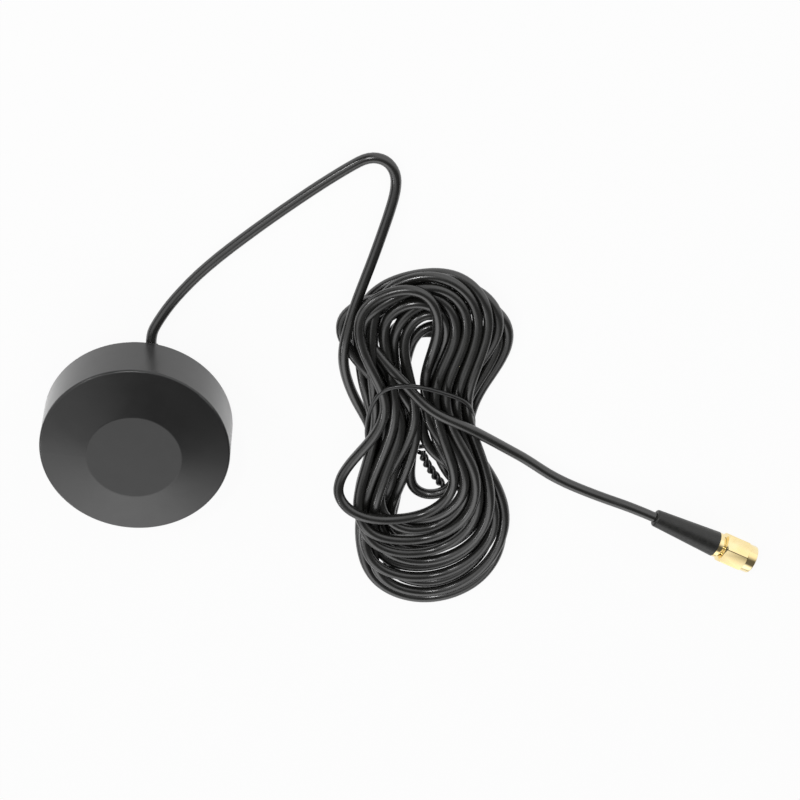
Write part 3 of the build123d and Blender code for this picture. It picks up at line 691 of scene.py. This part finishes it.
def tie_twist(start_degrees):
    """One of the two wire ends, twisted round the other."""
    path = smooth_line([(s, t, 2 * TIE_RADIUS) for s, t in TWIST_PATH], TWIST_PITCH / TWIST_STEPS)
    ahead = np.gradient(path, axis=0)
    ahead /= np.linalg.norm(ahead, axis=1)[:, None]
    upwards = np.array((0, 0, 1))
    sideways = np.cross(ahead, upwards)
    points = []
    for number, (middle, side) in enumerate(zip(path, sideways)):
        angle = math.radians(start_degrees + 360 / TWIST_STEPS * number)
        s, t, z = middle + TIE_RADIUS * (math.cos(angle) * side + math.sin(angle) * upwards)
        points.append((HANK_MIDDLE_X - s, t, z))
    return points


def make_tie(line):
    """The twist tie: its loop and its two ends, joined in one piece."""
    loop = round_cord("wire_tie", tie_loop(line), TIE_RADIUS, TIE_RINGS, closed=True)
    ends = [round_cord("wire_end", tie_twist(degrees), TIE_RADIUS, TIE_RINGS) for degrees in (0, 180)]
    only(loop, *ends)
    bpy.ops.object.convert(target="MESH")
    bpy.ops.object.join()
    tie = bpy.context.active_object
    tie.name = "wire_tie"
    bpy.ops.object.shade_smooth()
    dress(tie, "tie_plastic")
    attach(tie, "antenna")
    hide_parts("twist_tie")
    return tie


# The plug's coupling nut, modelled in millimetres along +Z and then laid on the plug's line

# The plug's line starts at the lead's end and heads this many degrees round from +X
PLUG_HEADING = 152.4
BOOT_LENGTH = 19.0
NUT_REAR = 2.1

NUT_FLATS = 8.0
NUT_FACE = 7.8
NUT_HEX_LENGTH = 6.9
NUT_CHAMFER = 0.5
NUT_EDGE_EASE = 0.22
NUT_LIP = 7.7
NUT_LIP_LENGTH = 2.6
NUT_LIP_ROUND = 0.25
NUT_NECK = 5.5
NUT_REAR_WALL = 1.5
NUT_CHAMBER = 6.7
NUT_CHAMBER_LENGTH = 1.6
NUT_BORE = 5.7
NUT_THREAD = 6.35
NUT_MOUTH = 6.5
NUT_PITCH = 0.706
NUT_THREAD_START = 4.4
NUT_THREAD_TURNS = 6

# The thread's ridge: its widths at root and crest, how deep it is sunk in the wall, and the steps of a turn
THREAD_ROOT = 0.62
THREAD_CREST = 0.1
THREAD_SUNK = 0.03
THREAD_STEPS = 60

# A body that another is cut or trimmed by runs past it by the spare, and a flat step rises by the hair
SPARE = 1
HAIR = 0.001
MERGE_GAP = 0.0001
EDGE_GAP = 0.01
TURNED_SIDES = 96
BEVEL_STEPS = 4
SMOOTH_DEGREES = 25


def edit(piece):
    only(piece)
    bpy.ops.object.mode_set(mode="EDIT")


def end_edit():
    bpy.ops.object.mode_set(mode="OBJECT")


def bevel_edges(piece, width, wanted):
    """Bevels the edges that wanted(one end, other end) says yes to."""
    edit(piece)
    bpy.ops.mesh.select_mode(type="EDGE")
    bpy.ops.mesh.select_all(action="DESELECT")
    end_edit()
    corners = piece.data.vertices
    for edge in piece.data.edges:
        edge.select = wanted(*(corners[index].co for index in edge.vertices))
    edit(piece)
    bpy.ops.mesh.bevel(offset=width, offset_type="OFFSET", segments=BEVEL_STEPS, affect="EDGES")
    end_edit()


def turned(name, steps):
    """A body turned about +Z, drawn out ring by ring from a disc. The steps are (z, radius)."""
    bpy.ops.object.select_all(action="DESELECT")
    z, radius = steps[0]
    bpy.ops.mesh.primitive_circle_add(vertices=TURNED_SIDES, radius=radius, fill_type="NGON",
                                      location=(0, 0, z))
    body = bpy.context.active_object
    body.name = name
    settle_transform(body)
    edit(body)
    bpy.ops.mesh.select_all(action="SELECT")
    for next_z, next_radius in steps[1:]:
        bpy.ops.mesh.extrude_region_move(TRANSFORM_OT_translate={"value": (0, 0, next_z - z)})
        bpy.ops.transform.resize(value=(next_radius / radius, next_radius / radius, 1))
        z, radius = next_z, next_radius
    bpy.ops.mesh.select_all(action="SELECT")
    bpy.ops.mesh.normals_make_consistent(inside=False)
    end_edit()
    return body


def combine(piece, other, operation):
    """Cuts, joins or trims the piece by the other body, which is then thrown away."""
    only(piece)
    change = piece.modifiers.new("combine", "BOOLEAN")
    change.operation = operation
    change.object = other
    change.solver = "EXACT"
    bpy.ops.object.modifier_apply(modifier=change.name)
    bpy.data.objects.remove(other, do_unlink=True)


def nut_hexagon():
    """The nut's hexagon, its long edges eased and its ends chamfered."""
    corner = NUT_FLATS / 2 / math.cos(math.radians(30))
    bpy.ops.object.select_all(action="DESELECT")
    bpy.ops.mesh.primitive_cylinder_add(vertices=6, radius=corner, depth=NUT_HEX_LENGTH + SPARE,
                                        location=(0, 0, NUT_HEX_LENGTH / 2))
    hexagon = bpy.context.active_object
    hexagon.name = "hexagon_nut"
    settle_transform(hexagon)
    bevel_edges(hexagon, NUT_EDGE_EASE, lambda one, other: abs(one.z - other.z) > NUT_HEX_LENGTH / 2)
    chamfers = turned("nut_chamfers", [
        (0, NUT_FACE / 2),
        (NUT_CHAMFER, corner),
        (NUT_HEX_LENGTH - NUT_CHAMFER, corner),
        (NUT_HEX_LENGTH, NUT_FACE / 2),
    ])
    combine(hexagon, chamfers, "INTERSECT")
    return hexagon


def nut_thread():
    """The fine ridge of the nut's inner thread, run up in a screw."""
    bpy.ops.object.select_all(action="DESELECT")
    bpy.ops.mesh.primitive_plane_add(size=1.0, location=(0, 0, 0))
    thread = bpy.context.active_object
    crest, root = NUT_BORE / 2, NUT_THREAD / 2 + THREAD_SUNK
    section = ((root, -THREAD_ROOT / 2), (crest, -THREAD_CREST / 2),
               (root, THREAD_ROOT / 2), (crest, THREAD_CREST / 2))
    for corner, (radius, z) in zip(thread.data.vertices, section):
        corner.co = (radius, 0, z + NUT_THREAD_START)
    screw = thread.modifiers.new("screw", "SCREW")
    screw.axis = "Z"
    screw.screw_offset = NUT_PITCH
    screw.iterations = NUT_THREAD_TURNS
    screw.steps = screw.render_steps = THREAD_STEPS
    screw.use_smooth_shade = False
    only(thread)
    bpy.ops.object.modifier_apply(modifier=screw.name)
    edit(thread)
    bpy.ops.mesh.select_all(action="SELECT")
    bpy.ops.mesh.remove_doubles(threshold=MERGE_GAP)
    bpy.ops.mesh.normals_make_consistent(inside=False)
    end_edit()
    return thread


def lay_on_plug_line(piece):
    """Lays the piece along the plug's line, with its z = 0 at the nut's rear face."""
    heading = math.radians(PLUG_HEADING)
    along = Vector((math.cos(heading), math.sin(heading), 0))
    upright = Vector((0, 0, 1))
    turn = Matrix((upright, along.cross(upright), along)).transposed()
    rear = Vector(PLUG_TAIL) + along * (BOOT_LENGTH + NUT_REAR)
    piece.matrix_world = Matrix.Translation(rear * MM) @ turn.to_4x4() @ Matrix.Scale(MM, 4)
    settle_transform(piece)


def make_nut():
    """The hexagonal coupling nut: chamfered, its long edges eased, with a round lip and an inner thread."""
    nut = nut_hexagon()
    lip_end = NUT_HEX_LENGTH + NUT_LIP_LENGTH
    lip = turned("nut_lip", [(NUT_HEX_LENGTH - SPARE, NUT_LIP / 2), (lip_end, NUT_LIP / 2)])
    bevel_edges(lip, NUT_LIP_ROUND, lambda one, other: min(one.z, other.z) > lip_end - EDGE_GAP)
    combine(nut, lip, "UNION")

    wall, chamber = NUT_REAR_WALL, NUT_REAR_WALL + NUT_CHAMBER_LENGTH
    mouth_depth = (NUT_MOUTH - NUT_THREAD) / 2
    bore = turned("nut_bore", [
        (-SPARE, NUT_NECK / 2),
        (wall, NUT_NECK / 2),
        (wall + HAIR, NUT_CHAMBER / 2),
        (chamber, NUT_CHAMBER / 2),
        (chamber + HAIR, NUT_THREAD / 2),
        (lip_end - mouth_depth, NUT_THREAD / 2),
        (lip_end + SPARE, NUT_MOUTH / 2 + SPARE),
    ])
    combine(nut, bore, "DIFFERENCE")

    only(nut, nut_thread())
    bpy.ops.object.join()
    bpy.ops.object.shade_smooth_by_angle(angle=math.radians(SMOOTH_DEGREES))
    lay_on_plug_line(nut)
    dress(nut, "gold_plate")
    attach(nut, "nut")
    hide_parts("coupling_nut")
    return nut


# The surroundings, in metres but for the camera's target

FLOOR_SIZE = 6.0
FLOOR_COLOUR = (0.85, 0.85, 0.85, 1)
FLOOR_GLOW = 0.94
WHITE = (1, 1, 1, 1)

# Each panel: the direction of its middle, how near to that a direction is at the panel's edge and where
# it shines fully, both as the dot of the two directions, and its strength
SOFT_PANELS = [
    ((0.15, 0.82, 0.56), 0.80, 1.02, 1.6),
    ((-0.66, -0.75, 0.05), 0.45, 0.92, 1.05),
    ((0.66, -0.10, 0.745), 0.80, 0.97, 0.85),
]
DIM_LEVEL = 0.12

# Each lamp: its name, place, width and watts
LAMPS = [
    ("spark", (0.75, 0.62, 0.62), 0.12, 0.7),
    ("edge", (0.62, -0.6, 0.6), 0.14, 1.2),
    ("flash", (0.1, -0.62, 0.86), 0.08, 2.2),
]
LAMP_AIM = (-0.06, 0, 0)

CAMERA_TARGET = (-69.4, -3.8, 0.0)
CAMERA_ELEVATION = 56.7
CAMERA_DISTANCE = 0.8
SENSOR_WIDTH = 36.0
FOCAL_PIXELS = 3008
PICTURE_PIXELS = 800


def make_floor():
    """A matt floor that keeps soft shadows, and glows nearly white to the camera and in reflections."""
    bpy.ops.mesh.primitive_plane_add(size=FLOOR_SIZE, location=(0, 0, 0))
    floor = bpy.context.active_object
    floor.name = "floor"
    material = bpy.data.materials.new("floor_white")
    material.use_nodes = True
    tree = material.node_tree
    tree.nodes.clear()
    output = tree.nodes.new("ShaderNodeOutputMaterial")
    mix = tree.nodes.new("ShaderNodeMixShader")
    matt = tree.nodes.new("ShaderNodeBsdfDiffuse")
    matt.inputs["Color"].default_value = FLOOR_COLOUR
    glow = tree.nodes.new("ShaderNodeEmission")
    glow.inputs["Color"].default_value = WHITE
    glow.inputs["Strength"].default_value = 1.0
    path = tree.nodes.new("ShaderNodeLightPath")
    seen = tree.nodes.new("ShaderNodeMath")
    seen.operation = "MAXIMUM"
    share = tree.nodes.new("ShaderNodeMath")
    share.operation = "MULTIPLY"
    share.inputs[1].default_value = FLOOR_GLOW
    tree.links.new(path.outputs["Is Camera Ray"], seen.inputs[0])
    tree.links.new(path.outputs["Is Glossy Ray"], seen.inputs[1])
    tree.links.new(seen.outputs[0], share.inputs[0])
    tree.links.new(share.outputs[0], mix.inputs["Fac"])
    tree.links.new(matt.outputs[0], mix.inputs[1])
    tree.links.new(glow.outputs[0], mix.inputs[2])
    tree.links.new(mix.outputs[0], output.inputs["Surface"])
    floor.data.materials.append(material)


def panel_strength(tree, direction, panel):
    """How strongly a soft panel of the studio shines from each direction."""
    centre, edge, heart, strength = panel
    towards = tree.nodes.new("ShaderNodeVectorMath")
    towards.operation = "DOT_PRODUCT"
    towards.inputs[1].default_value = centre
    fall = tree.nodes.new("ShaderNodeMapRange")
    fall.interpolation_type = "SMOOTHSTEP"
    fall.inputs["From Min"].default_value = edge
    fall.inputs["From Max"].default_value = heart
    fall.inputs["To Max"].default_value = strength
    tree.links.new(direction, towards.inputs[0])
    tree.links.new(towards.outputs["Value"], fall.inputs["Value"])
    return fall.outputs["Result"]


def make_world():
    """A dim surround with three soft panels, plain white to the camera."""
    world = bpy.data.worlds.new("studio")
    bpy.context.scene.world = world
    world.use_nodes = True
    tree = world.node_tree
    background = tree.nodes["Background"]
    background.inputs["Color"].default_value = WHITE
    direction = tree.nodes.new("ShaderNodeTexCoord").outputs["Generated"]
    total = None
    for panel in SOFT_PANELS:
        strength = panel_strength(tree, direction, panel)
        add = tree.nodes.new("ShaderNodeMath")
        add.operation = "ADD"
        # the dim level comes in with the first panel, and each further one takes the sum so far
        add.inputs[1].default_value = DIM_LEVEL
        tree.links.new(strength, add.inputs[0])
        if total is not None:
            tree.links.new(total, add.inputs[1])
        total = add.outputs[0]
    level = tree.nodes.new("ShaderNodeMix")
    level.inputs["B"].default_value = 1.0
    path = tree.nodes.new("ShaderNodeLightPath")
    tree.links.new(path.outputs["Is Camera Ray"], level.inputs["Factor"])
    tree.links.new(total, level.inputs["A"])
    tree.links.new(level.outputs["Result"], background.inputs["Strength"])


def make_lamp(name, place, width, watts):
    """A square lamp that is turned to where all the lamps aim."""
    light = bpy.data.lights.new(name, "AREA")
    light.shape = "SQUARE"
    light.size = width
    light.energy = watts
    lamp = bpy.data.objects.new(name, light)
    bpy.context.collection.objects.link(lamp)
    place, aim = Vector(place), Vector(LAMP_AIM)
    lamp.location = place
    lamp.rotation_euler = (aim - place).to_track_quat("-Z", "Y").to_euler()


def make_camera():
    """The picture's upright is turned half a turn, so the camera's own up points down the picture."""
    camera_data = bpy.data.cameras.new("camera")
    camera_data.sensor_width = SENSOR_WIDTH
    camera_data.lens = FOCAL_PIXELS / PICTURE_PIXELS * SENSOR_WIDTH
    camera = bpy.data.objects.new("camera", camera_data)
    bpy.context.collection.objects.link(camera)
    bpy.context.scene.camera = camera
    target = Vector(metres(*CAMERA_TARGET))
    elevation = math.radians(CAMERA_ELEVATION)
    back = Vector((0, -math.cos(elevation), math.sin(elevation)))
    across = Vector((-1, 0, 0))
    up = back.cross(across)
    turn = Matrix((across, up, back)).transposed()
    camera.matrix_world = Matrix.Translation(target + back * CAMERA_DISTANCE) @ turn.to_4x4()


# The whole scene

dress_nodes()
hank_line = hank_in_place()
nut = make_nut()
tie = make_tie(hank_line)
make_lead(hank_line)
make_floor()
make_world()
for lamp_facts in LAMPS:
    make_lamp(*lamp_facts)
make_camera()
bpy.context.scene.view_settings.view_transform = "Standard"
bpy.context.view_layer.update()
